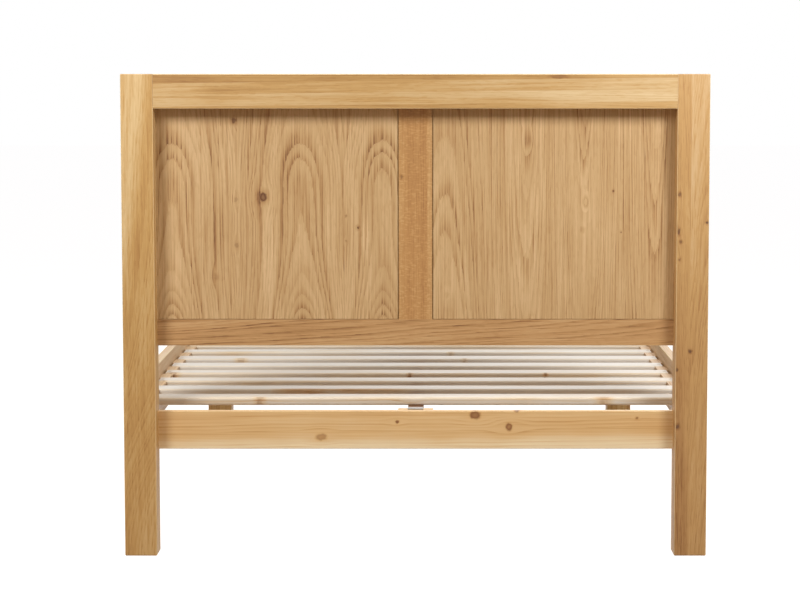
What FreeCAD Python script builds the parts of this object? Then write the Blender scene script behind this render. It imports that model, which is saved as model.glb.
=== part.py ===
import FreeCAD, Part
import os

os.makedirs("parts", exist_ok=True)

# Panel bed in oak and pine, in millimetres.
# X runs across the bed, Y from the headboard (-Y) to the footboard (+Y), Z up.
# The origin is on the floor, under the middle of the bed.

# ---- driving dimensions ----

# the mattress that the frame is made for, and the play round it
mattress_width = 1350.0
mattress_length = 1900.0
mattress_side_play = 25.0
mattress_end_play = 7.0

# the four posts
post_width = 80.0
post_depth = 66.0
post_arris = 2.0
post_foot_chamfer = 2.5
headboard_height = 1200.0
footboard_height = 560.0

# the panelled frame between two posts
frame_thickness = 20.0
frame_arris = 1.2
head_top_rail_height = 85.0
foot_top_rail_height = 85.0
head_bottom_rail_height = 66.0
head_bottom_rail_underside = 523.0
muntin_width = 84.0
tenon_width = 60.0
tenon_thickness = 10.0
tenon_length = 15.0
panel_thickness = 10.0
panel_overlap = 8.0
panel_gap_below = 1.0
panel_gap_beside_muntin = 2.2
joint_clearance = 0.3

# the lower rails: pine cross rail at the head, oak rail at the foot
lower_rail_underside = 262.0
cross_rail_arris = 2.5

# side rails
side_rail_thickness = 25.0
side_rail_height = 147.0
side_rail_floor_height = 270.0
side_rail_arris = 2.5

# slats
slat_count = 13
slat_underside = 358.0
slat_thickness = 20.0
slat_width = 68.0
slat_edge_radius = 6.0
slat_end_play = 6.0
first_slat_gap = 69.0
last_slat_gap = 13.0

# notched ledgers that hold the slats
ledger_width = 28.0
ledger_under_slat = 40.0
ledger_end_play = 4.0
ledger_tooth_drop = 1.5
ledger_tooth_round = 3.0
ledger_notch_play = 0.5

# centre rail and what hangs it
centre_rail_width = 39.0
centre_rail_depth = 60.0
centre_rail_arris = 1.5
cleat_width = 88.0
cleat_thickness = 25.0
cleat_height = 80.0
centre_hook_gauge = 2.5
centre_hook_height = 52.0
centre_hook_play = 0.3

# hook and keeper plates that join a side rail to a post
plate_width = 16.0
plate_height = 118.0
plate_gauge = 3.0
hook_spacing = 44.0
hook_gauge = 3.0
hook_neck_height = 16.0
hook_lip_drop = 8.0
hook_play = 0.4
hook_entry_room = 3.0

# dowels
thick_dowel_diameter = 12.0
thick_dowel_length = 60.0
thin_dowel_diameter = 8.0
thin_dowel_length = 44.0
top_rail_dowel_spacing = 44.0
bottom_rail_dowel_spacing = 34.0
cross_rail_dowel_spacing = 52.0
dowel_clearance = 0.1
dowel_end_room = 1.0

# countersunk wood screws: shank diameter, length and places
slat_screw_diameter = 4.0
slat_screw_length = 40.0
slat_screw_inset = 15.0
ledger_screw_diameter = 5.0
ledger_screw_length = 45.0
ledger_screw_count = 6
cleat_screw_diameter = 5.0
cleat_screw_length = 40.0
cleat_screw_spread = 64.0
cleat_screw_rows = 40.0
plate_screw_diameter = 3.5
plate_screw_length = 28.0
plate_screw_spacing = 100.0
centre_hook_screw_spacing = 26.0
screw_clearance = 0.1
screw_sink = 0.5
screw_rim = 0.3
drive_slot_width = 0.8
drive_slot_reach = 0.6

# how far a cutting tool runs past the face that it starts from
cutter_overrun = 1.0

# ---- levels and places worked out from them ----

half_bed_width = mattress_width / 2 + mattress_side_play + side_rail_thickness
well_half_width = half_bed_width - side_rail_thickness
well_length = mattress_length + 2 * mattress_end_play
bed_length = well_length + 2 * post_depth
head_rear = -bed_length / 2
head_front = head_rear + post_depth
foot_rear = head_front + well_length
post_inner = half_bed_width - post_width
frame_setback = post_depth - frame_thickness
foot_frame = foot_rear + frame_setback
slat_top = slat_underside + slat_thickness
ledger_underside = slat_underside - ledger_under_slat
lower_rail_middle = (lower_rail_underside + slat_underside) / 2
side_rail_middle = side_rail_floor_height + side_rail_height / 2

across = FreeCAD.Vector(1, 0, 0)
to_head = FreeCAD.Vector(0, -1, 0)
to_foot = FreeCAD.Vector(0, 1, 0)
up = FreeCAD.Vector(0, 0, 1)
down = FreeCAD.Vector(0, 0, -1)
sides = {"left": -1, "right": 1}

pieces = {}


# ---- makers ----

def block(x_low, x_high, y_low, y_high, z_low, z_high):
    corner = FreeCAD.Vector(x_low, y_low, z_low)
    return Part.makeBox(x_high - x_low, y_high - y_low, z_high - z_low, corner)


def side_block(side, x_near, x_far, y_low, y_high, z_low, z_high):
    """A block on the left (-1) or right (1), from its distances to the bed's middle plane."""
    ends = sorted((side * x_near, side * x_far))
    return block(ends[0], ends[1], y_low, y_high, z_low, z_high)


def edges_along(shape, axis):
    return [edge for edge in shape.Edges if abs(edge.tangentAt(edge.FirstParameter).dot(axis)) > 0.999]


def eased(shape, axis, radius):
    """Round every edge that runs along the axis."""
    return shape.makeFillet(radius, edges_along(shape, axis))


def rod(diameter, length, middle, direction):
    start = middle - direction * (length / 2)
    return Part.makeCylinder(diameter / 2, length, start, direction)


def screw_body(diameter, length, clearance, above):
    """A countersunk screw pointing down from z = 0, or with clearance the hole for it."""
    head = diameter + clearance
    shank = diameter / 2 + clearance
    corners = [
        (0, above),
        (head, above),
        (head, -screw_rim),
        (shank, -screw_rim - head + shank),
        (shank, diameter - length),
        (shank / 4, -length - clearance),
        (0, -length - clearance),
        (0, above),
    ]
    outline = Part.makePolygon([FreeCAD.Vector(x, 0, z) for x, z in corners])
    return Part.Face(outline).revolve(FreeCAD.Vector(0, 0, 0), up, 360)


def aimed(shape, place, direction):
    """Turn a shape that points down towards the direction, and put it in its place."""
    shape.Placement = FreeCAD.Placement(place, FreeCAD.Rotation(down, direction))
    return shape


def wood_screw(diameter, length, place, direction):
    reach = diameter * drive_slot_reach
    half_slot = drive_slot_width / 2
    one_way = block(-reach, reach, -half_slot, half_slot, -reach, cutter_overrun)
    other_way = block(-half_slot, half_slot, -reach, reach, -reach, cutter_overrun)
    return aimed(screw_body(diameter, length, 0, 0).cut([one_way, other_way]), place, direction)


def screw_hole(diameter, length, place, direction):
    tool = screw_body(diameter, length, screw_clearance, screw_sink + cutter_overrun)
    return aimed(tool, place, direction)


def rail_dowels(diameter, length, spacing, y_middle, z_middle):
    """Dowels in both ends of a rail between two posts, and the holes that take them."""
    dowels = []
    holes = []
    for side in sides.values():
        for step in (-1, 1):
            middle = FreeCAD.Vector(side * post_inner, y_middle, z_middle + step * spacing / 2)
            dowels.append(rod(diameter, length, middle, across))
            hole_length = length + 2 * dowel_end_room
            holes.append(rod(diameter + 2 * dowel_clearance, hole_length, middle, across))
    return dowels, holes


# ---- panelled end boards ----

def end_board(board, y_rear, height, top_rail_height, panel_bottom, bottom_rail_underside):
    """Posts, rails, muntin and panels of one end, with the frame flush with the posts' far face."""
    y_far = y_rear + post_depth
    y_frame = y_rear + frame_setback
    y_lip = y_frame + panel_thickness
    y_middle = y_frame + frame_thickness / 2
    panel_top = height - top_rail_height
    top_middle = height - top_rail_height / 2
    bottom_middle = (bottom_rail_underside + panel_bottom) / 2
    groove_reach = panel_overlap + joint_clearance

    top_dowels, top_holes = rail_dowels(
        thick_dowel_diameter, thick_dowel_length, top_rail_dowel_spacing,
        y_rear + post_depth / 2, top_middle)
    bottom_dowels, bottom_holes = rail_dowels(
        thin_dowel_diameter, thin_dowel_length, bottom_rail_dowel_spacing,
        y_middle, bottom_middle)

    # one cutter for the grooves that take the panels' edges, in the posts and the top rail
    groove = block(-post_inner - groove_reach, post_inner + groove_reach,
                   y_frame, y_lip + joint_clearance, panel_bottom, panel_top + groove_reach)

    half_tenon = tenon_width / 2
    tenon_low = y_middle - tenon_thickness / 2
    tenon_high = y_middle + tenon_thickness / 2
    tenons = block(-half_tenon, half_tenon, tenon_low, tenon_high,
                   panel_bottom - tenon_length, panel_top + tenon_length)
    mortise_reach = tenon_length + joint_clearance
    mortises = block(-half_tenon - joint_clearance, half_tenon + joint_clearance,
                     tenon_low - joint_clearance, tenon_high + joint_clearance,
                     panel_bottom - mortise_reach, panel_top + mortise_reach)

    for word, side in sides.items():
        post = side_block(side, post_inner, half_bed_width, y_rear, y_far, 0, height)
        foot_edges = [edge for edge in post.Edges if edge.BoundBox.ZMax < post_foot_chamfer]
        post = post.makeChamfer(post_foot_chamfer, foot_edges)
        upper_edges = [edge for edge in post.Edges if edge.BoundBox.ZMax > height / 2]
        post = post.makeFillet(post_arris, upper_edges)
        pieces[board + "_post_" + word] = post.cut([groove] + top_holes + bottom_holes)

    top_rail = block(-post_inner, post_inner, y_rear, y_far, panel_top, height)
    top_rail = eased(top_rail, across, post_arris)
    pieces[board + "_top_rail"] = top_rail.cut([groove, mortises] + top_holes)

    # the bottom rail and the muntin are rebated, so that the panels lie against their lips
    rail_top = panel_bottom + panel_overlap
    bottom_rail = block(-post_inner, post_inner, y_frame, y_far, bottom_rail_underside, rail_top)
    bottom_rail = eased(bottom_rail, across, frame_arris)
    rebate = block(-post_inner, post_inner, y_frame, y_lip, panel_bottom, rail_top)
    pieces[board + "_bottom_rail"] = bottom_rail.cut([rebate, mortises] + bottom_holes)

    half_muntin = muntin_width / 2
    half_lip = half_muntin + panel_overlap
    muntin = block(-half_muntin, half_muntin, y_frame, y_lip, panel_bottom, panel_top)
    lip = block(-half_lip, half_lip, y_lip, y_far, rail_top, panel_top)
    pieces[board + "_muntin"] = muntin.fuse([lip, tenons]).removeSplitter()

    for word, side in sides.items():
        pieces[board + "_panel_" + word] = side_block(
            side, half_muntin + panel_gap_beside_muntin, post_inner + panel_overlap,
            y_frame, y_lip, panel_bottom + panel_gap_below, panel_top + panel_overlap)

    return top_dowels + bottom_dowels


headboard_dowels = end_board(
    "headboard", head_rear, headboard_height, head_top_rail_height,
    head_bottom_rail_underside + head_bottom_rail_height, head_bottom_rail_underside)
footboard_dowels = end_board(
    "footboard", foot_rear, footboard_height, foot_top_rail_height,
    slat_underside, lower_rail_underside)

# ---- pine cross rail under the headboard's frame ----

cross_dowels, cross_holes = rail_dowels(
    thin_dowel_diameter, thin_dowel_length, cross_rail_dowel_spacing,
    head_front - frame_thickness / 2, lower_rail_middle)
cross_rail = block(-post_inner, post_inner, head_front - frame_thickness, head_front,
                   lower_rail_underside, slat_underside)
pieces["headboard_cross_rail"] = eased(cross_rail, across, cross_rail_arris).cut(cross_holes)
for word in sides:
    post_name = "headboard_post_" + word
    pieces[post_name] = pieces[post_name].cut(cross_holes)

pieces["headboard_dowels"] = Part.makeCompound(headboard_dowels + cross_dowels)
pieces["footboard_dowels"] = Part.makeCompound(footboard_dowels)

# ---- side rails, hung on the posts by hook and keeper plates ----

hook_plate_screws = []
keeper_plate_screws = []


def hang_rail(end, word, y_face, into_post):
    """One corner: a hook plate let into the rail's end, and a keeper plate in the post's face."""
    side = sides[word]
    rail_name = "side_rail_" + word
    post_name = end + "board_post_" + word
    x_middle = side * (half_bed_width - side_rail_thickness / 2)

    def layer(x_half, depth_low, depth_high, z_low, z_high):
        """A block by its depths into the post, measured from the joint's face."""
        ends = sorted((y_face + into_post.y * depth_low, y_face + into_post.y * depth_high))
        return block(x_middle - x_half, x_middle + x_half, ends[0], ends[1], z_low, z_high)

    plate_low = side_rail_middle - plate_height / 2
    plate_high = side_rail_middle + plate_height / 2
    hook_plate = layer(plate_width / 2, -plate_gauge, 0, plate_low, plate_high)
    keeper_plate = layer(plate_width / 2, 0, plate_gauge, plate_low, plate_high)

    # each hook passes through its slot, and its lip hangs down behind the keeper
    lip_near = plate_gauge + hook_play
    lip_far = lip_near + hook_gauge
    half_slot = hook_gauge / 2 + hook_play
    hooks = []
    slots = []
    pockets = []
    for step in (-1, 1):
        neck_low = side_rail_middle + step * hook_spacing / 2 - hook_neck_height / 2
        neck_high = neck_low + hook_neck_height
        lip_low = neck_low - hook_lip_drop
        slot_high = neck_high + hook_lip_drop + hook_entry_room
        hooks.append(layer(hook_gauge / 2, 0, lip_far, neck_low, neck_high))
        hooks.append(layer(hook_gauge / 2, lip_near, lip_far, lip_low, neck_high))
        slots.append(layer(half_slot, 0, plate_gauge, neck_low, slot_high))
        pockets.append(layer(half_slot, 0, lip_far + hook_play, lip_low - hook_play, slot_high))

    rail_holes = []
    post_holes = []
    for step in (-1, 1):
        face_point = FreeCAD.Vector(x_middle, y_face, side_rail_middle + step * plate_screw_spacing / 2)
        in_rail = face_point - into_post * screw_sink
        in_post = face_point + into_post * screw_sink
        rail_holes.append(screw_hole(plate_screw_diameter, plate_screw_length, in_rail, -into_post))
        post_holes.append(screw_hole(plate_screw_diameter, plate_screw_length, in_post, into_post))
        hook_plate_screws.append(
            wood_screw(plate_screw_diameter, plate_screw_length, in_rail, -into_post))
        keeper_plate_screws.append(
            wood_screw(plate_screw_diameter, plate_screw_length, in_post, into_post))

    pieces[rail_name] = pieces[rail_name].cut([hook_plate] + rail_holes)
    pieces[post_name] = pieces[post_name].cut([keeper_plate] + pockets + post_holes)
    corner = end + "_" + word
    pieces["hook_plate_" + corner] = hook_plate.cut(rail_holes).fuse(hooks).removeSplitter()
    pieces["keeper_plate_" + corner] = keeper_plate.cut(slots + post_holes)


for word, side in sides.items():
    rail = side_block(side, well_half_width, half_bed_width, head_front, foot_rear,
                      side_rail_floor_height, side_rail_floor_height + side_rail_height)
    pieces["side_rail_" + word] = eased(rail, to_foot, side_rail_arris)
    hang_rail("head", word, head_front, to_head)
    hang_rail("foot", word, foot_rear, to_foot)

pieces["hook_plate_screws"] = Part.makeCompound(hook_plate_screws)
pieces["keeper_plate_screws"] = Part.makeCompound(keeper_plate_screws)

# ---- slats ----

slat_pitch = (well_length - first_slat_gap - last_slat_gap - slat_width) / (slat_count - 1)
first_slat_middle = head_front + first_slat_gap + slat_width / 2
slat_middles = [first_slat_middle + slat_pitch * step for step in range(slat_count)]
slat_half_length = well_half_width - slat_end_play
slat_screws = []
slat_holes = {"left": [], "right": []}

for number, y_middle in enumerate(slat_middles, start=1):
    slat = block(-slat_half_length, slat_half_length,
                 y_middle - slat_width / 2, y_middle + slat_width / 2, slat_underside, slat_top)
    slat = eased(slat, across, slat_edge_radius)
    for word, side in sides.items():
        place = FreeCAD.Vector(side * (well_half_width - slat_screw_inset), y_middle, slat_top - screw_sink)
        hole = screw_hole(slat_screw_diameter, slat_screw_length, place, down)
        slat = slat.cut(hole)
        slat_holes[word].append(hole)
        slat_screws.append(wood_screw(slat_screw_diameter, slat_screw_length, place, down))
    pieces["slat_%02d" % number] = slat

pieces["slat_screws"] = Part.makeCompound(slat_screws)

# ---- notched ledgers on the side rails ----

ledger_low = head_front + ledger_end_play
ledger_high = foot_rear - ledger_end_play
ledger_inner = well_half_width - ledger_width
tooth_top = slat_top - ledger_tooth_drop
notch_half = slat_width / 2 + ledger_notch_play
ledger_screws = []

for word, side in sides.items():
    ledger = side_block(side, ledger_inner, well_half_width, ledger_low, ledger_high,
                        ledger_underside, tooth_top)
    notches = [side_block(side, ledger_inner, well_half_width, y_middle - notch_half, y_middle + notch_half,
                          slat_underside, slat_top) for y_middle in slat_middles]
    ledger = ledger.cut(notches)
    tooth_edges = [edge for edge in edges_along(ledger, across)
                   if edge.BoundBox.ZMin > (slat_underside + tooth_top) / 2]
    ledger = ledger.makeFillet(ledger_tooth_round, tooth_edges)

    holes = []
    for number in range(ledger_screw_count):
        tooth = round(number * (slat_count - 2) / (ledger_screw_count - 1))
        place = FreeCAD.Vector(side * (ledger_inner + screw_sink), slat_middles[tooth] + slat_pitch / 2,
                               ledger_underside + ledger_under_slat / 2)
        outward = across * side
        holes.append(screw_hole(ledger_screw_diameter, ledger_screw_length, place, outward))
        ledger_screws.append(wood_screw(ledger_screw_diameter, ledger_screw_length, place, outward))
    pieces["slat_ledger_" + word] = ledger.cut(holes + slat_holes[word])
    pieces["side_rail_" + word] = pieces["side_rail_" + word].cut(holes)

pieces["ledger_screws"] = Part.makeCompound(ledger_screws)

# ---- centre rail, hooked over a cleat at each end ----

cleat_screws = []
centre_hook_screws = []
half_cleat = cleat_width / 2
half_centre_rail = centre_rail_width / 2


def hang_centre_rail(end, y_face, inward, backing_name):
    """Cleat, steel hook and their screws at one end, and the place where the rail's end grain starts."""
    def layer(x_half, depth_low, depth_high, z_low, z_high):
        """A block by its depths from the backing rail's face towards the middle of the bed."""
        ends = sorted((y_face + inward.y * depth_low, y_face + inward.y * depth_high))
        return block(-x_half, x_half, ends[0], ends[1], z_low, z_high)

    cleat = layer(half_cleat, 0, cleat_thickness, slat_underside - cleat_height, slat_underside)
    leg_near = cleat_thickness + centre_hook_play
    leg_far = leg_near + centre_hook_gauge
    hook_top = slat_underside + centre_hook_gauge
    leg = layer(half_centre_rail, leg_near, leg_far, hook_top - centre_hook_height, hook_top)
    top = layer(half_centre_rail, centre_hook_play, leg_far, slat_underside, hook_top)

    cleat_holes = []
    cleat_middle = slat_underside - cleat_height / 2
    for side in sides.values():
        for step in (-1, 1):
            place = FreeCAD.Vector(side * cleat_screw_spread / 2,
                                   y_face + inward.y * (cleat_thickness - screw_sink),
                                   cleat_middle + step * cleat_screw_rows / 2)
            cleat_holes.append(screw_hole(cleat_screw_diameter, cleat_screw_length, place, -inward))
            cleat_screws.append(wood_screw(cleat_screw_diameter, cleat_screw_length, place, -inward))

    hook_holes = []
    hook_middle = slat_underside - centre_rail_depth / 2
    for step in (-1, 1):
        place = FreeCAD.Vector(0, y_face + inward.y * (leg_near + screw_sink),
                               hook_middle + step * centre_hook_screw_spacing / 2)
        hook_holes.append(screw_hole(plate_screw_diameter, plate_screw_length, place, inward))
        centre_hook_screws.append(wood_screw(plate_screw_diameter, plate_screw_length, place, inward))

    pieces["centre_cleat_" + end] = cleat.cut(cleat_holes)
    pieces[backing_name] = pieces[backing_name].cut(cleat_holes)
    pieces["centre_hook_" + end] = leg.fuse(top).removeSplitter().cut(hook_holes)
    return y_face + inward.y * leg_far, hook_holes


centre_rail_low, head_hook_holes = hang_centre_rail("head", head_front, to_foot, "headboard_cross_rail")
centre_rail_high, foot_hook_holes = hang_centre_rail("foot", foot_frame, to_head, "footboard_bottom_rail")
centre_rail = block(-half_centre_rail, half_centre_rail, centre_rail_low, centre_rail_high,
                    slat_underside - centre_rail_depth, slat_underside)
centre_rail = eased(centre_rail, to_foot, centre_rail_arris)
pieces["centre_rail"] = centre_rail.cut(head_hook_holes + foot_hook_holes)
pieces["cleat_screws"] = Part.makeCompound(cleat_screws)
pieces["centre_hook_screws"] = Part.makeCompound(centre_hook_screws)

# ---- one file for each piece ----

for name, shape in pieces.items():
    shape.exportStep("parts/" + name + ".step")
    print(name, "solids:", len(shape.Solids), "valid:", shape.isValid())
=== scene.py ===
import math
import random

import bpy
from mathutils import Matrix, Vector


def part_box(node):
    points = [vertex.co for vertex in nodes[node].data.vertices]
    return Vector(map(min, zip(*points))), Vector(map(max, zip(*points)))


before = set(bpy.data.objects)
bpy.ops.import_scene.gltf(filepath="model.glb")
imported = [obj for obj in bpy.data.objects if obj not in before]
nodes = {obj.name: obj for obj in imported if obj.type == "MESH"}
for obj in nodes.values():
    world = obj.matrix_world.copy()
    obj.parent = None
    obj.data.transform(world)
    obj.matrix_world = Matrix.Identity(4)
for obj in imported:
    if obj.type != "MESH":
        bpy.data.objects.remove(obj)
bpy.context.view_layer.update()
print("frame loaded:", len(nodes), "pieces of the bed")

mm = 0.001


def hexToLinear(hexCode):
    channels = [int(hexCode[start:start + 2], 16) / 255 for start in (0, 2, 4)]
    linear = [c / 12.92 if c <= 0.04045 else ((c + 0.055) / 1.055) ** 2.4 for c in channels]
    return (*linear, 1.0)


# one node of that kind: its settings are set, and its inputs are given values or links
def addNode(tree, kind, inputs=None, **settings):
    node = tree.nodes.new("ShaderNode" + kind)
    for setting, value in settings.items():
        setattr(node, setting, value)
    for socket, value in (inputs or {}).items():
        if isinstance(value, bpy.types.Node):
            value = value.outputs[0]
        if isinstance(value, bpy.types.NodeSocket):
            tree.links.new(value, node.inputs[socket])
        else:
            node.inputs[socket].default_value = value
    return node


# stops are (place, linear colour) pairs, from low to high
def fillRamp(ramp, stops):
    elements = ramp.color_ramp.elements
    while len(elements) < len(stops):
        elements.new(1.0)
    while len(elements) > len(stops):
        elements.remove(elements[-1])
    for element, (place, colour) in zip(elements, stops):
        element.position = place
        element.color = colour


def newMaterial(name):
    material = bpy.data.materials.new(name)
    material.use_nodes = True
    material.node_tree.nodes.clear()
    return material, material.node_tree


# Solid oak, planed and thinly lacquered. It is ring-porous, so each year starts with a row of open
# pores that reads as a thin darker line. The lacquer leaves a soft satin sheen over a faint tooth.
postOak = {
    "pale": "dbbf8d", "body": "c0985b", "dark": "ac8047", "line": "946831", "knot": "603f28",
    # arris is a painted highlight colour for the eased edges, and worn says how much of it they get
    "arrisHighlight": "efd9a9", "endGrain": "dcc29c",
    "bandGap": 26 * mm, "bandWeight": 0.18, "yearGap": 5 * mm, "lineWeight": 0.14,
    "fibreWidth": 2.6 * mm, "fibreLength": 180 * mm, "fibreWeight": 0.18,
    "mottleWeight": 0.25, "stripWeight": 0.6, "wander": 4 * mm, "torn": 2 * mm,
    "poreWeight": 0.06, "flecks": 0.0, "arrisHighlightAmount": 0.9, "roughness": 0.5, "relief": 0.2,
}

# The right post was cut from pinker boards.
pinkOak = dict(postOak, pale="d9be95", body="c09860", dark="ac814e", line="946838")

# The same oak, in the rails' warmer boards.
railOak = dict(postOak, pale="d6bd91", body="bf9960", dark="ab834b", line="986d3d", yearGap=7 * mm,
               bandWeight=0.18, lineWeight=0.1, stripWeight=0.65, fibreWeight=0.16, mottleWeight=0.35,
               arrisHighlightAmount=1.0)
# The side rails' oak is a paler copy of the rails' oak, painted light for their inner faces, which the
# lamps leave in shade.
sideOakPaintedPaler = dict(railOak, pale="ead4b0", body="ddbd92", dark="caa675", line="b58d5b")
lowRailOak = dict(railOak, pale="d0ae7f", body="bd9361", dark="a47a4a", line="825833",
                  bandWeight=0.3, lineWeight=0.3, fibreWeight=0.22, wander=8 * mm, mottleWeight=0.25)

# Quarter-cut oak shows its medullary rays as pale flecks across the grain.
quarterOak = dict(postOak, pale="d1aa74", body="b98b54", dark="a47442", line="8a5d35",
                  bandWeight=0.3, lineWeight=0.08, flecks=0.12, arrisHighlightAmount=0.2)

# Crown-cut oak veneer on board, lacquered: cathedral figures side by side, with small live knots.
veneerOak = dict(postOak, pale="dfc094", body="c2a070", dark="b18a5a", line="966d42", knot="5c3215",
                 bandGap=30 * mm, bandWeight=0.2, yearGap=8 * mm, lineWeight=0.28, fibreWidth=2.8 * mm,
                 fibreLength=230 * mm, fibreWeight=0.4, mottleWeight=0.25, stripWeight=0.25,
                 wander=5 * mm, torn=3.5 * mm, roughness=0.55)
# The other side of the headboard has quieter leaves, cut nearer the quarter.
quietVeneer = dict(veneerOak, yearGap=6 * mm, lineWeight=0.26, torn=3 * mm, fibreLength=300 * mm)

# Knotty pine, planed and lacquered: pale early wood between thin brown year lines, round red-brown knots.
railPine = {
    "pale": "f2dfb8", "body": "dfbb84", "dark": "cd9e62", "line": "b88349", "knot": "86582f",
    # arris is the painted highlight colour for the eased edges
    "arrisHighlight": "f4dcae", "endGrain": "e6d2ac",
    "bandGap": 50 * mm, "bandWeight": 0.25, "yearGap": 11 * mm, "lineWeight": 0.19,
    "fibreWidth": 2.5 * mm, "fibreLength": 200 * mm, "fibreWeight": 0.12,
    "mottleWeight": 0.25, "stripWeight": 0.6, "wander": 10 * mm, "torn": 0.0,
    "poreWeight": 0.0, "flecks": 0.0, "arrisHighlightAmount": 0.3, "roughness": 0.45, "relief": 0.1,
}

# Sawn and planed pine left raw: creamy and dry, with faint lines, orange heart streaks and small knots.
# Seen along its face it catches a pale sheen.
rawPine = dict(railPine, pale="efece4", body="e5e1d8", dark="ddcaac", line="c99f70", knot="8f6440",
               endGrain="e0cba8", bandWeight=0.4, lineWeight=0.14, roughness=0.45, relief=0.2)

# The centre rail is painted dark brown, a painted shade for the shadow it lies in under the slats, so it
# shows as a dark block over the head end's cleat.
shadePaintedPine = dict(railPine, pale="8c6242", body="744c2e", dark="664227", line="573820")
ledgerPine = dict(railPine, pale="e2c89f", body="d5b283", dark="bb9362", line="a57c4e")
turnedBeech = dict(rawPine, pale="dcb78c", body="cfa273", dark="b98857", line="ab7c4e", flecks=0.1)

# which way a board's grain, depth and width run
grainWays = {"upright": "ZYX", "crosswise": "XYZ", "lengthwise": "YXZ", "lyingAcross": "XZY"}


# A board glued up from strips, or a panel of veneer leaves: where each starts across the board,
# where its pith lies, how the pith leans along the grain, its tone and its own seed. The joints
# between strips may lean, the cut may rise through the rings at (along, depth) pairs, and sapwood
# is (start, end, how much paler), by the distance from the pith.
def glued(grain, span, pithDeep, strips, lean=0.0, knots=(), rise=(), sapwood=()):
    names = ("start", "pith", "tilt", "tone", "seed")
    return {"grain": grain, "span": span, "pithDeep": pithDeep, "lean": lean, "rise": rise,
            "sapwood": sapwood, "knots": knots, "strips": [dict(zip(names, strip)) for strip in strips]}


# A knot parts the grain over its reach and spread, counted in radii, or bulges the rings. Its core has
# a paler heart and a stained halo, and ends at its depth, in radii too. With no core it is a cloud of
# darker wood, or of paler wood where its stain is negative.
plainKnot = {"reach": 9, "spread": 4, "depth": 8, "part": 0.85, "bulge": 0.0, "stretch": 1.25,
             "halo": 2.6, "stain": 0.15, "core": 0.0, "heart": 0.0}

# how uneven a knot's outline is, and where its halo, core and heart fade, in radii
knotEdge = {"raggedSize": 9.091 * mm, "raggedDepth": 6 * mm, "halo": 0.8, "core": (0.75, 1.15),
            "heart": (0.2, 0.75)}


# How far the board's knots push the grain aside and bulge the rings, their stain, and where their cores
# and hearts show. Knots start at the board's first face, whose place along its depth is given.
def addKnots(tree, board, face, place, across):
    push = bulge = stain = cores = hearts = 0.0
    if board["knots"]:
        ragged = addNode(tree, "TexNoise", {"Vector": place, "Scale": 1 / knotEdge["raggedSize"],
                                            "Detail": 1.0})
        ragged = addNode(tree, "VectorMath", {0: ragged.outputs["Color"], 1: (0.5, 0.5, 0.5)},
                         operation="SUBTRACT")
        ragged = addNode(tree, "VectorMath", {0: ragged, 1: [knotEdge["raggedDepth"]] * 3, 2: place},
                         operation="MULTIPLY_ADD")
    for knot in board["knots"]:
        knot = dict(plainKnot, **knot)
        radius = knot["radius"]
        middle = (knot["along"], face, knot["across"])
        away = addNode(tree, "VectorMath", {0: place, 1: middle}, operation="SUBTRACT")
        reach = (1 / (knot["reach"] * radius), 0, 1 / (knot["spread"] * radius))
        reach = addNode(tree, "VectorMath", {0: away, 1: reach}, operation="MULTIPLY")
        reach = addNode(tree, "VectorMath", {0: reach}, operation="LENGTH")
        near = addNode(tree, "MapRange", {0: reach.outputs["Value"], 3: 1.0, 4: 0.0},
                       interpolation_type="SMOOTHSTEP")
        side = addNode(tree, "Math", {0: across, 1: knot["across"]}, operation="SUBTRACT")
        side = addNode(tree, "Math", {0: side, 1: near}, operation="MULTIPLY")
        push = addNode(tree, "Math", {0: side, 1: -knot["part"], 2: push}, operation="MULTIPLY_ADD")
        bulge = addNode(tree, "Math", {0: near, 1: knot["bulge"], 2: bulge}, operation="MULTIPLY_ADD")
        spot = addNode(tree, "VectorMath", {0: ragged, 1: middle}, operation="SUBTRACT")
        shape = (1 / (knot["stretch"] * radius), 1 / (knot["depth"] * radius), 1 / radius)
        spot = addNode(tree, "VectorMath", {0: spot, 1: shape}, operation="MULTIPLY")
        spot = addNode(tree, "VectorMath", {0: spot}, operation="LENGTH").outputs["Value"]
        halo = addNode(tree, "MapRange", {0: spot, 1: knotEdge["halo"], 2: knot["halo"], 3: knot["stain"],
                                          4: 0.0}, interpolation_type="SMOOTHSTEP")
        stain = addNode(tree, "Math", {0: halo, 1: stain}, operation="ADD")
        full, gone = knotEdge["core"]
        core = addNode(tree, "MapRange", {0: spot, 1: full, 2: gone, 3: knot["core"], 4: 0.0})
        cores = addNode(tree, "Math", {0: core, 1: cores}, operation="MAXIMUM")
        full, gone = knotEdge["heart"]
        heart = addNode(tree, "MapRange", {0: spot, 1: full, 2: gone, 3: knot["heart"], 4: 0.0})
        hearts = addNode(tree, "Math", {0: heart, 1: hearts}, operation="MAXIMUM")
    return push, bulge, stain, cores, hearts


# The patterns of noise in every wood: their sizes along, into and across the board, their detail and
# their roughness. Pores, rays and fibres are finer than the render shows, so they are drawn several
# times too coarse, as the woods' fibre widths are.
woodNoise = {
    "drift": ((625 * mm, 200 * mm, 142.86 * mm), 3.5, 0.55),
    "mottle": ((200 * mm, 62.5 * mm, 62.5 * mm), 2.0, 0.5),
    "pores": ((22.22 * mm, 2.381 * mm, 2.381 * mm), 0.0, 0.5),
    "rays": ((4.167 * mm, 12.5 * mm, 12.5 * mm), 1.0, 0.5),
}

# the values between which a pore or a ray fades
markEdge = {"pores": (0.34, 0.42), "rays": (0.5, 0.66)}

# how the year rings are drawn in every wood
ringLook = {
    "sideWander": 2, "deepWander": 3,                   # counted in the wood's own wander
    "widthChange": 0.4, "widthSpread": 2.0,             # how often the years' width changes, and how much
    "faintLine": -0.35, "boldLine": -1.0,               # how much a year line darkens
    "lineFade": 0.7,                                    # the part of a year over which its line fades
    "brokenFrom": (0.35, 1.3), "brokenTo": (0.62, 0.5), # a fibre's value, and the line's weight in it
}

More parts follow.
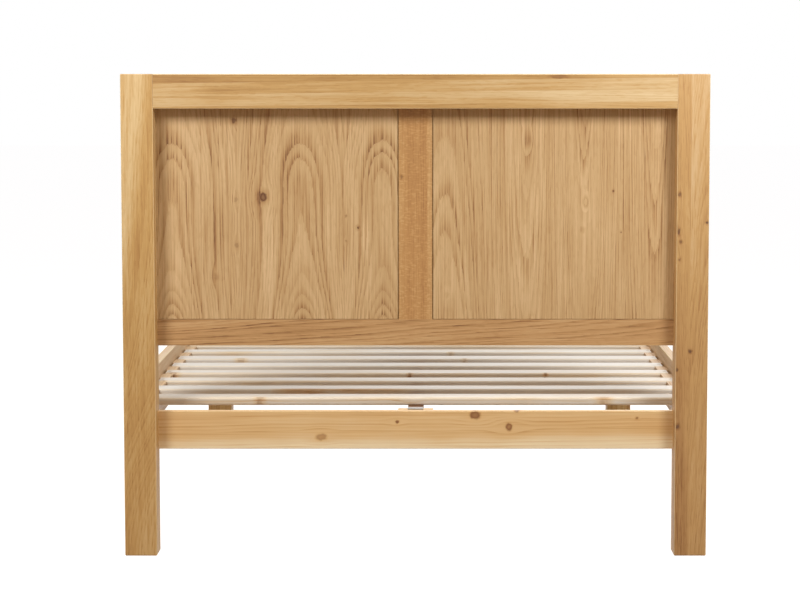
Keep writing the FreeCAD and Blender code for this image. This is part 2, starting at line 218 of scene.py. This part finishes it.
# each layer's middle value, at which it leaves the board's tone as it is: 0.5 if not given here
layerMiddles = {"lineWeight": -0.25, "poreWeight": 1.0, "flecks": 0.2}

# where each of a wood's colours stands on the scale of tone
tonePlaces = {"knot": 0.02, "line": 0.2, "dark": 0.33, "body": 0.52, "pale": 0.8}

surfaceLook = {
    "easedEdge": (0.2, 0.6), "cutEnd": (0.6, 0.95),     # how far a surface turns towards being one
    "tooth": 0.3 * mm, "roughSpread": 0.08, "fibreRange": (0.3, 0.7), "lacquerIor": 1.5,
}

# a ramp's channels hold 0 to 1, so a pith's place, from -2 to 2 metres, and a seed are packed into that
packing = {"pithRange": 4.0, "seedRange": 9.0}


def makeWood(name, wood, board):
    material, tree = newMaterial(name + "_wood")
    coords = addNode(tree, "TexCoord")
    axes = addNode(tree, "SeparateXYZ", {0: coords.outputs["Object"]})
    letters = grainWays[board["grain"]]
    along, deep, across = [axes.outputs[letter] for letter in letters]
    place = addNode(tree, "CombineXYZ", {0: along, 1: deep, 2: across})

    # one ramp looks up the strip's four values by its place across the board
    low, high = board["span"]
    leaned = addNode(tree, "Math", {0: along, 1: -board["lean"], 2: across}, operation="MULTIPLY_ADD")
    stripPlace = addNode(tree, "MapRange", {0: leaned, 1: low, 2: high})
    lookUp = addNode(tree, "ValToRGB", {0: stripPlace})
    lookUp.color_ramp.interpolation = "CONSTANT"
    pithRange = packing["pithRange"]
    fillRamp(lookUp, [((strip["start"] - low) / (high - low),
                       (strip["pith"] / pithRange + 0.5, strip["tone"], strip["seed"], strip["tilt"] + 0.5))
                      for strip in board["strips"]])
    found = addNode(tree, "SeparateColor", {0: lookUp})
    pith = addNode(tree, "Math", {0: found.outputs[0], 1: pithRange, 2: -pithRange / 2},
                   operation="MULTIPLY_ADD")
    stripTone = found.outputs[1]
    seed = addNode(tree, "Math", {0: found.outputs[2], 1: packing["seedRange"]}, operation="MULTIPLY")
    tilt = addNode(tree, "Math", {0: lookUp.outputs["Alpha"], 1: 0.5}, operation="SUBTRACT")
    seededAlong = addNode(tree, "Math", {0: along, 1: seed}, operation="ADD")
    seeded = addNode(tree, "CombineXYZ", {0: seededAlong, 1: deep, 2: across})

    fibreSize = (wood["fibreLength"], wood["fibreWidth"], wood["fibreWidth"])
    noise = {}
    for pattern, (sizes, detail, roughness) in dict(woodNoise, fibres=(fibreSize, 1.0, 0.5)).items():
        stretched = addNode(tree, "Mapping", {0: seeded, 3: [1 / size for size in sizes]})
        noise[pattern] = addNode(tree, "TexNoise", {"Vector": stretched, "Scale": 1.0, "Detail": detail,
                                                    "Roughness": roughness})

    face = spanOf(name, letters[1])[0]
    push, bulge, stain, cores, hearts = addKnots(tree, board, face, place, across)

    # years are counted by the distance from the pith, with the slow wander of real growth
    drift = addNode(tree, "SeparateColor", {0: noise["drift"].outputs["Color"]})
    ringSide = addNode(tree, "Math", {0: drift.outputs[0], 1: ringLook["sideWander"] * wood["wander"],
                                      2: across}, operation="MULTIPLY_ADD")
    ringSide = addNode(tree, "Math", {0: ringSide, 1: push}, operation="ADD")
    ringSide = addNode(tree, "Math", {0: ringSide, 1: pith}, operation="SUBTRACT")
    ringDeep = addNode(tree, "Math", {0: tilt, 1: along, 2: deep}, operation="MULTIPLY_ADD")
    if board["rise"]:
        lowEnd, highEnd = board["rise"][0][0], board["rise"][-1][0]
        rise = addNode(tree, "MapRange", {0: along, 1: lowEnd, 2: highEnd})
        rise = addNode(tree, "ValToRGB", {0: rise})
        rise.color_ramp.interpolation = "B_SPLINE"
        fillRamp(rise, [((end - lowEnd) / (highEnd - lowEnd), (depth, depth, depth, 1))
                        for end, depth in board["rise"]])
        ringDeep = addNode(tree, "Math", {0: ringDeep, 1: rise}, operation="ADD")
    ringDeep = addNode(tree, "Math", {0: drift.outputs[1], 1: ringLook["deepWander"] * wood["wander"],
                                      2: ringDeep}, operation="MULTIPLY_ADD")
    ringDeep = addNode(tree, "Math", {0: ringDeep, 1: board["pithDeep"]}, operation="SUBTRACT")
    spoke = addNode(tree, "CombineXYZ", {1: ringDeep, 2: ringSide})
    spoke = addNode(tree, "VectorMath", {0: spoke}, operation="LENGTH")
    growth = addNode(tree, "Math", {0: spoke.outputs["Value"], 1: seed}, operation="ADD")
    growth = addNode(tree, "Math", {0: growth, 1: bulge}, operation="ADD")

    # the fibres tear the year lines into short steps, which shows where the lines cross the grain
    growth = addNode(tree, "Math", {0: noise["fibres"], 1: wood["torn"], 2: growth},
                     operation="MULTIPLY_ADD")

    # broad bands of good and poor years, and in each year a line of pores that fades outwards:
    # years differ in width, and in how strongly they are marked
    bands = addNode(tree, "TexNoise", {"W": growth, "Scale": 1 / wood["bandGap"], "Detail": 2.0,
                                       "Roughness": 0.6}, noise_dimensions="1D")
    uneven = addNode(tree, "TexNoise", {"W": growth, "Scale": ringLook["widthChange"] / wood["yearGap"],
                                        "Detail": 0.0}, noise_dimensions="1D")
    years = addNode(tree, "Math", {0: growth, 1: 1 / wood["yearGap"]}, operation="MULTIPLY")
    years = addNode(tree, "Math", {0: uneven, 1: ringLook["widthSpread"], 2: years},
                    operation="MULTIPLY_ADD")
    marked = addNode(tree, "Math", {0: years}, operation="FLOOR")
    marked = addNode(tree, "TexWhiteNoise", {"W": marked}, noise_dimensions="1D")
    marked = addNode(tree, "MapRange", {0: marked, 3: ringLook["faintLine"], 4: ringLook["boldLine"]})
    season = addNode(tree, "Math", {0: years}, operation="FRACT")
    season = addNode(tree, "MapRange", {0: season, 1: 0.0, 2: ringLook["lineFade"], 3: 1.0, 4: 0.0},
                     interpolation_type="SMOOTHSTEP")
    lines = addNode(tree, "Math", {0: season, 1: marked}, operation="MULTIPLY")
    (thin, whole), (thick, part) = ringLook["brokenFrom"], ringLook["brokenTo"]
    broken = addNode(tree, "MapRange", {0: noise["fibres"], 1: thin, 2: thick, 3: whole, 4: part})
    lines = addNode(tree, "Math", {0: lines, 1: broken}, operation="MULTIPLY")

    # every layer that the wood has moves its tone by the layer's weight
    marks = {}
    for pattern, (low, high) in markEdge.items():
        marks[pattern] = addNode(tree, "MapRange", {0: noise[pattern], 1: low, 2: high})
    layers = {"bandWeight": bands, "lineWeight": lines, "fibreWeight": noise["fibres"],
              "poreWeight": marks["pores"], "mottleWeight": noise["mottle"], "stripWeight": stripTone,
              "flecks": marks["rays"]}
    level = 0.5 - sum(wood[weight] * layerMiddles.get(weight, 0.5) for weight in layers)
    for weight, layer in layers.items():
        if wood[weight]:
            level = addNode(tree, "Math", {0: layer, 1: wood[weight], 2: level}, operation="MULTIPLY_ADD")
    level = addNode(tree, "Math", {0: level, 1: stain}, operation="SUBTRACT")
    if board["sapwood"]:
        start, end, paler = board["sapwood"]
        sapwood = addNode(tree, "MapRange", {0: spoke.outputs["Value"], 1: start, 2: end, 4: paler},
                          interpolation_type="SMOOTHSTEP")
        level = addNode(tree, "Math", {0: level, 1: sapwood}, operation="ADD")
    colour = addNode(tree, "ValToRGB", {0: level})
    fillRamp(colour, [(tone, hexToLinear(wood[shade])) for shade, tone in tonePlaces.items()])
    colour = addNode(tree, "MixRGB", {0: cores, 1: colour, 2: hexToLinear(wood["knot"])})
    colour = addNode(tree, "MixRGB", {0: hearts, 1: colour, 2: hexToLinear(wood["dark"])})

    # the eased edges are painted paler, a painted highlight for the light they catch, and cut ends soak up
    # more lacquer and look darker
    facing = addNode(tree, "NewGeometry")
    facing = addNode(tree, "SeparateXYZ", {0: facing.outputs["Normal"]})
    faces = [addNode(tree, "Math", {0: facing.outputs[letter]}, operation="ABSOLUTE") for letter in letters]
    low, high = surfaceLook["easedEdge"]
    edgeHighlight = addNode(tree, "Math", {0: faces[1], 1: faces[2]}, operation="MINIMUM")
    edgeHighlight = addNode(tree, "MapRange", {0: edgeHighlight, 1: low, 2: high, 4: wood["arrisHighlightAmount"]})
    colour = addNode(tree, "MixRGB", {0: edgeHighlight, 1: colour, 2: hexToLinear(wood["arrisHighlight"])})
    low, high = surfaceLook["cutEnd"]
    endOn = addNode(tree, "MapRange", {0: faces[0], 1: low, 2: high})
    colour = addNode(tree, "MixRGB", {0: endOn, 1: colour, 2: hexToLinear(wood["endGrain"])},
                     blend_type="MULTIPLY")

    height = addNode(tree, "Math", {0: lines, 1: noise["fibres"]}, operation="ADD")
    bump = addNode(tree, "Bump", {"Height": height, "Strength": wood["relief"],
                                  "Distance": surfaceLook["tooth"]})
    low, high = surfaceLook["fibreRange"]
    rough = addNode(tree, "MapRange", {0: noise["fibres"], 1: low, 2: high,
                                       3: wood["roughness"] + surfaceLook["roughSpread"],
                                       4: wood["roughness"] - surfaceLook["roughSpread"]})
    shader = addNode(tree, "BsdfPrincipled", {"Base Color": colour, "Roughness": rough, "Normal": bump,
                                              "IOR": surfaceLook["lacquerIor"]})
    addNode(tree, "OutputMaterial", {0: shader})
    return material


def spanOf(node, letter):
    low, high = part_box(node)
    axis = "XYZ".index(letter)
    return low[axis], high[axis]


# the narrowest strip left at an edge, how widths and tones vary, and the pith's least depth under a face
anyStrips = {"narrowest": 4 * mm, "widths": (0.7, 1.3), "tones": (0.3, 0.7), "pithDepth": 60 * mm}


# a board whose figure doesn't show in the photograph: strips of random width, pith, tilt and tone
def anyBoard(node, grain, stripWidth, pithAway, tiltMost=0.03, knots=()):
    dice = random.Random(node)
    letters = grainWays[grain]
    low, high = spanOf(node, letters[2])
    deepLow = spanOf(node, letters[1])[0]
    strips = []
    start = low
    while start < high - anyStrips["narrowest"]:
        width = stripWidth * dice.uniform(*anyStrips["widths"])
        pith = start + width / 2 + dice.uniform(-1, 1) * pithAway
        tilt = dice.uniform(-tiltMost, tiltMost)
        strips.append((start, pith, tilt, dice.uniform(*anyStrips["tones"]), dice.random()))
        start += width
    pithDeep = deepLow - anyStrips["pithDepth"] - dice.random() * pithAway
    return glued(grain, (low, high), pithDeep, strips, knots=knots)


print("headboard")
# how the veneer's cut climbs through the rings, as (height, depth) pairs: level where the figure
# runs straight, and steep where arches crowd together
panelRise = [(0.58, 0.0), (0.62, 0.009), (0.67, 0.019), (0.74, 0.027), (0.80, 0.030), (0.93, 0.032),
             (0.98, 0.037), (1.03, 0.046), (1.12, 0.060)]
# the left post's grain sweeps sideways near its foot
postRise = [(0.0, 0.0), (0.1, 0.01), (0.2, 0.025), (0.3, 0.05), (0.4, 0.073), (0.5, 0.09),
            (0.64, 0.105), (0.8, 0.114), (1.05, 0.125), (1.2, 0.132)]

headboard = {
    "postLeft": glued("upright", spanOf("headboard_post_left", "X"), -1.53, [
        (-0.725, -0.37, 0.0, 0.46, 0.11),
        (-0.7135, -0.37, 0.0, 0.5, 0.42),
    ], rise=postRise, sapwood=(0.700, 0.712, 0.17)),
    "postRight": glued("upright", spanOf("headboard_post_right", "X"), -1.35, [
        (0.645, 0.35, 0.05, 0.2, 0.31),
        (0.68, 0.95, 0.08, 0.46, 0.62),
    ], sapwood=(0.468, 0.485, 0.15), knots=[
        dict(along=0.9037, across=0.6513, radius=3.5 * mm, stain=0.2, core=0.5, reach=16, spread=6),
        dict(along=0.8120, across=0.6500, radius=3 * mm, stain=0.2, core=0.8, stretch=2.5),
        dict(along=0.7866, across=0.6557, radius=3 * mm, stain=0.2, core=0.5, reach=16, spread=6),
        dict(along=0.7422, across=0.6527, radius=2.5 * mm, stain=0.15, core=0.5),
        dict(along=0.8345, across=0.7205, radius=3 * mm, stain=0.2, core=0.9, reach=50, spread=12),
        dict(along=0.5141, across=0.6807, radius=3 * mm, stain=0.3, core=0.8, reach=20, spread=7),
        dict(along=0.4679, across=0.6489, radius=2 * mm, stain=0.2, core=0.5),
        dict(along=0.3263, across=0.6512, radius=4 * mm, stain=0.2, core=0.9, reach=20, spread=6),
    ]),
    "topRail": glued("crosswise", spanOf("headboard_top_rail", "Z"), -1.25, [
        (1.115, 0.95, 0.02, 0.42, 0.52),
        (1.126, 0.9, 0.02, 0.66, 0.22),
        (1.156, 1.0, -0.03, 0.5, 0.72),
        (1.184, 0.9, 0.01, 0.28, 0.92),
    ], lean=0.011, knots=[
        dict(along=-0.45, across=1.1607, radius=7 * mm, stretch=8, stain=0.14, halo=2.0, part=0.0),
        dict(along=0.66, across=1.15, radius=45 * mm, stretch=7, stain=-0.1, halo=2.4, part=0.0),
        dict(along=0.352, across=1.194, radius=3 * mm, stretch=6, stain=0.2, halo=2.0),
    ]),
    # neighbouring veneer leaves mirror each other's figure
    "panelLeft": glued("upright", spanOf("headboard_panel_left", "X"), -1.005, [
        (-0.653, -0.599, 0.0, 0.5, 0.13),
        (-0.4434, -0.2778, 0.0, 0.5, 0.13),
        (-0.1793, -0.0761, 0.0, 0.5, 0.13),
    ], rise=panelRise, knots=[
        dict(along=0.895, across=-0.3784, radius=9 * mm, stain=0.22, core=1.0, heart=0.35, spread=6),
        dict(along=0.8177, across=-0.1431, radius=2.6 * mm, stain=0.2, core=1.0, halo=3.5),
        dict(along=1.084, across=-0.451, radius=5.5 * mm, stain=0.2, core=0.65, bulge=8 * mm, part=0.0),
        dict(along=0.8875, across=-0.4463, radius=4.5 * mm, stain=0.04, core=0.25, bulge=7 * mm, part=0.0),
        dict(along=0.7752, across=-0.4458, radius=5 * mm, stain=0.06, core=0.3, bulge=7 * mm, part=0.0),
        dict(along=0.6951, across=-0.4975, radius=5 * mm, stain=0.08, core=0.1, bulge=5 * mm),
        dict(along=0.8476, across=-0.1728, radius=2.5 * mm, stain=0.12, core=0.4),
        dict(along=0.7852, across=-0.1730, radius=2.5 * mm, stain=0.08, core=0.3),
        dict(along=0.80, across=-0.365, radius=9 * mm, stretch=9, stain=-0.1, halo=2.4, part=0.0),
        dict(along=0.795, across=-0.125, radius=6 * mm, stretch=5, stain=-0.12, halo=2.4, part=0.0),
        dict(along=0.85, across=-0.33, radius=7 * mm, stretch=30, stain=0.07, halo=2.0, part=0.0),
    ]),
    "panelRight": glued("upright", spanOf("headboard_panel_right", "X"), -1.04, [
        (0.044, 0.0786, 0.045, 0.5, 0.13),
        (0.18, 0.2796, -0.04, 0.53, 0.53),
        (0.3364, 0.4249, -0.04, 0.46, 0.43),
        (0.4996, 0.6018, -0.04, 0.5, 0.23),
    ], knots=[
        dict(along=1.0366, across=0.2796, radius=5 * mm, stain=0.05, bulge=-6 * mm, part=0.0),
        dict(along=1.0466, across=0.6018, radius=5 * mm, stain=0.05, bulge=-6 * mm, part=0.0),
        dict(along=0.65, across=0.0786, radius=4 * mm, stain=0.08, bulge=6 * mm),
        dict(along=0.88, across=0.4249, radius=4.5 * mm, stain=0.06, bulge=-6 * mm, part=0.0),
        dict(along=0.8127, across=0.4171, radius=4 * mm, stain=0.1, bulge=4 * mm, part=0.0),
        dict(along=0.9099, across=0.4924, radius=1.8 * mm, stain=0.15, core=0.9),
        dict(along=0.8077, across=0.5118, radius=1.8 * mm, stain=0.1, core=0.6),
    ]),
    "muntin": glued("upright", spanOf("headboard_muntin", "X"), -1.3, [
        (-0.05, 0.5, 0.0, 0.62, 0.17),
        (-0.028, 0.6, 0.0, 0.47, 0.37),
        (0.029, 0.5, 0.0, 0.66, 0.57),
    ], knots=[
        dict(along=0.945, across=-0.034, radius=3.5 * mm, stain=0.15, core=0.4),
    ]),
    "bottomRail": glued("crosswise", spanOf("headboard_bottom_rail", "Z"), -1.10, [
        (0.523, 0.68, 0.065, 0.5, 0.27),
    ]),
    "crossRail": glued("crosswise", spanOf("headboard_cross_rail", "Z"), -1.08, [
        (0.262, 0.46, 0.02, 0.46, 0.47),
    # its paler lower edge is sapwood, made paler still as painted light for the glow the pale floor throws
    # onto it
    ], sapwood=(0.185, 0.225, 0.36), knots=[
        dict(along=-0.2372, across=0.292, radius=8 * mm, stain=0.12, halo=1.6, core=0.5, heart=0.4,
             stretch=1.6),
        dict(along=-0.0465, across=0.330, radius=5 * mm, core=1.0, halo=1.8, stretch=1.0),
        dict(along=0.1490, across=0.3473, radius=10 * mm, core=1.0, heart=0.25, halo=1.5, stretch=1.4),
        dict(along=0.2343, across=0.3173, radius=9.5 * mm, core=1.0, heart=0.4, halo=1.5, stretch=0.9),
        dict(along=0.2542, across=0.3603, radius=5 * mm, core=0.9, halo=1.8, stretch=1.6),
        dict(along=0.5551, across=0.3401, radius=2.5 * mm, core=0.7),
    ]),
}

boards = {
    "headboard_post_left": (postOak, headboard["postLeft"]),
    "headboard_post_right": (pinkOak, headboard["postRight"]),
    "headboard_top_rail": (railOak, headboard["topRail"]),
    "headboard_panel_left": (veneerOak, headboard["panelLeft"]),
    "headboard_panel_right": (quietVeneer, headboard["panelRight"]),
    "headboard_muntin": (quarterOak, headboard["muntin"]),
    "headboard_bottom_rail": (lowRailOak, headboard["bottomRail"]),
    "headboard_cross_rail": (railPine, headboard["crossRail"]),
}

print("footboard, side rails and slatted base")
# boards whose figure doesn't show: their wood and grain, how wide their strips are, and how far off a
# strip's middle its pith may lie
plainBoards = {
    "footboard_post_left": (postOak, "upright", 40 * mm, 400 * mm),
    "footboard_post_right": (postOak, "upright", 40 * mm, 400 * mm),
    "footboard_panel_left": (veneerOak, "upright", 150 * mm, 30 * mm),
    "footboard_panel_right": (veneerOak, "upright", 150 * mm, 30 * mm),
    "footboard_top_rail": (railOak, "crosswise", 30 * mm, 400 * mm),
    "footboard_bottom_rail": (lowRailOak, "crosswise", 200 * mm, 60 * mm),
    "footboard_muntin": (quarterOak, "upright", 50 * mm, 400 * mm),
    "side_rail_left": (sideOakPaintedPaler, "lengthwise", 50 * mm, 300 * mm),
    "side_rail_right": (sideOakPaintedPaler, "lengthwise", 50 * mm, 300 * mm),
    "slat_ledger_left": (ledgerPine, "lengthwise", 100 * mm, 50 * mm),
    "slat_ledger_right": (ledgerPine, "lengthwise", 100 * mm, 50 * mm),
    "centre_rail": (shadePaintedPine, "lengthwise", 200 * mm, 80 * mm),
    "centre_cleat_head": (railPine, "crosswise", 200 * mm, 50 * mm),
    "centre_cleat_foot": (railPine, "crosswise", 200 * mm, 50 * mm),
}
for name in nodes:
    if name.startswith("slat_") and name[5:].isdigit():
        plainBoards[name] = (rawPine, "lyingAcross", 200 * mm, 50 * mm)
    elif name.endswith("_dowels"):
        plainBoards[name] = (turnedBeech, "crosswise", 2000 * mm, 50 * mm)
# the knots and heart streaks that show on the slats' near edges
slatKnots = {
    "slat_01": [dict(along=-0.3975, across=-0.884, radius=6 * mm, core=0.45, stretch=1.6),
                dict(along=0.4796, across=-0.882, radius=7 * mm, core=0.35, stretch=2),
                dict(along=-0.0147, across=-0.9, radius=7 * mm, stain=0.1, stretch=5)],
    "slat_02": [dict(along=-0.3093, across=-0.739, radius=5 * mm, stain=0.35, stretch=8, part=0.0),
                dict(along=-0.12, across=-0.739, radius=5 * mm, stain=0.25, stretch=14, part=0.0)],
    "slat_03": [dict(along=-0.6788, across=-0.59, radius=4 * mm, core=0.8)],
    "slat_04": [dict(along=-0.6725, across=-0.442, radius=9 * mm, core=0.8, heart=0.5),
                dict(along=-0.0197, across=-0.444, radius=4.5 * mm, core=0.8),
                dict(along=0.3548, across=-0.444, radius=4 * mm, core=0.9)],
    "slat_06": [dict(along=-0.5114, across=-0.148, radius=9 * mm, core=0.3, heart=0.3),
                dict(along=0.1363, across=-0.148, radius=6 * mm, core=0.45, heart=0.5)],
    "slat_07": [dict(along=0.0971, across=-0.002, radius=6 * mm, core=0.3, heart=0.3)],
    "slat_09": [dict(along=0.31, across=0.31, radius=7 * mm, core=0.8, heart=0.6)],
    "slat_12": [dict(along=-0.21, across=0.77, radius=8 * mm, core=0.8, heart=0.6)],
}
for name, (wood, grain, stripWidth, pithAway) in plainBoards.items():
    boards[name] = (wood, anyBoard(name, grain, stripWidth, pithAway, knots=slatKnots.get(name, ())))

for name, (wood, board) in boards.items():
    nodes[name].material_slots[0].material = makeWood(name, wood, board)


zinc = {"cloudSize": 11.11 * mm, "cloudRange": (0.3, 0.7), "roughSpread": 0.1}


# Zinc-plated steel: stamped plates and rolled screws under a bright blue-grey plating, slightly
# clouded, so it reads as dull silver.
def makeZinc(name, colour, roughness):
    material, tree = newMaterial(name)
    coords = addNode(tree, "TexCoord")
    clouds = addNode(tree, "TexNoise", {"Vector": coords.outputs["Object"],
                                        "Scale": 1 / zinc["cloudSize"], "Detail": 3.0})
    low, high = zinc["cloudRange"]
    rough = addNode(tree, "MapRange", {0: clouds, 1: low, 2: high, 3: roughness - zinc["roughSpread"],
                                       4: roughness + zinc["roughSpread"]})
    shader = addNode(tree, "BsdfPrincipled", {"Base Color": hexToLinear(colour), "Metallic": 1.0,
                                              "Roughness": rough})
    addNode(tree, "OutputMaterial", {0: shader})
    return material


print("steel plates and screws")
# the plates' zinc is painted a darker, warmer grey than bright plating, a painted shade for the shadow the
# head end's hook lies in under the slat
plating = makeZinc("shade_darkened_zinc_plating", "948f8a", 0.45)
screwPlating = makeZinc("yellowed_zinc_plating", "b8b1a0", 0.45)
for name, node in nodes.items():
    if name.endswith("_screws"):
        node.material_slots[0].material = screwPlating
    elif "_plate_" in name or "_hook_" in name:
        node.material_slots[0].material = plating

print("floor, light and camera")
studio = {
    "floorSize": 60.0,
    "floorColour": "bcaa98",
    "floorGlow": "f3f7fa",      # what the camera sees on top of the floor's own light, so it looks white
    "skyLight": 0.2, "skyColour": "ffdfc4",
}
lamps = {
    "keyLeft": {"place": (-1.52, -2.38, 2.04), "aim": (-0.7, -1.0, 0.95), "size": 0.65, "watts": 32.5},
    "keyRight": {"place": (1.32, -2.18, 1.91), "aim": (0.8, -1.0, 0.95), "size": 0.6, "watts": 25.8},
    "overhead": {"place": (0.0, -0.8, 3.5), "aim": (0.0, 0.2, 0.0), "size": 2.4, "watts": 45},
    "rearFill": {"place": (0.6, 3.2, 2.6), "aim": (0.0, 0.0, 0.5), "size": 1.8, "watts": 31},
}


# 1 where the camera sees a thing itself, in a mirror or through glass, and 0 where it only lights others
def seenDirectly(tree):
    rays = addNode(tree, "LightPath")
    seen = addNode(tree, "Math", {0: rays.outputs["Is Camera Ray"], 1: rays.outputs["Is Glossy Ray"]},
                   operation="MAXIMUM")
    return addNode(tree, "Math", {0: seen, 1: rays.outputs["Is Transmission Ray"]}, operation="MAXIMUM")


bpy.ops.mesh.primitive_plane_add(size=studio["floorSize"])
floor = bpy.context.object
floor.name = "floor"
floorMaterial, tree = newMaterial("pale_studio_floor")
glow = addNode(tree, "Emission", {0: hexToLinear(studio["floorGlow"]), 1: seenDirectly(tree)})
matt = addNode(tree, "BsdfDiffuse", {0: hexToLinear(studio["floorColour"])})
both = addNode(tree, "AddShader", {0: matt, 1: glow})
addNode(tree, "OutputMaterial", {0: both})
floor.data.materials.append(floorMaterial)

world = bpy.data.worlds.new("white_studio")
bpy.context.scene.world = world
world.use_nodes = True
tree = world.node_tree
tree.nodes.clear()
seen = seenDirectly(tree)
strength = addNode(tree, "MapRange", {0: seen, 3: studio["skyLight"], 4: 1.0})
tint = addNode(tree, "MixRGB", {0: seen, 1: hexToLinear(studio["skyColour"]), 2: (1, 1, 1, 1)})
sky = addNode(tree, "Background", {0: tint, 1: strength})
addNode(tree, "OutputWorld", {0: sky})


def addLamp(name, place, aim, size, watts):
    lamp = bpy.data.lights.new(name, "AREA")
    lamp.shape = "SQUARE"
    lamp.size = size
    lamp.energy = watts
    holder = bpy.data.objects.new(name, lamp)
    holder.location = place
    toAim = [there - here for there, here in zip(aim, place)]
    level = math.hypot(toAim[0], toAim[1])
    holder.rotation_euler = (math.atan2(level, -toAim[2]), 0, math.atan2(toAim[1], toAim[0]) - math.pi / 2)
    bpy.context.collection.objects.link(holder)


for name, values in lamps.items():
    addLamp(name, **values)

view = {"place": (0.0356, -6.180, 1.195), "pitchDown": 4.353, "lens": 94.29, "sensor": 36,
        "shift": (-0.0372, -0.08)}
cameraData = bpy.data.cameras.new("camera")
cameraData.sensor_width = view["sensor"]
cameraData.lens = view["lens"]
cameraData.shift_x, cameraData.shift_y = view["shift"]
camera = bpy.data.objects.new("camera", cameraData)
camera.location = view["place"]
camera.rotation_euler = (math.radians(90 - view["pitchDown"]), 0, 0)
bpy.context.collection.objects.link(camera)
bpy.context.scene.camera = camera
bpy.context.scene.view_settings.view_transform = "Standard"
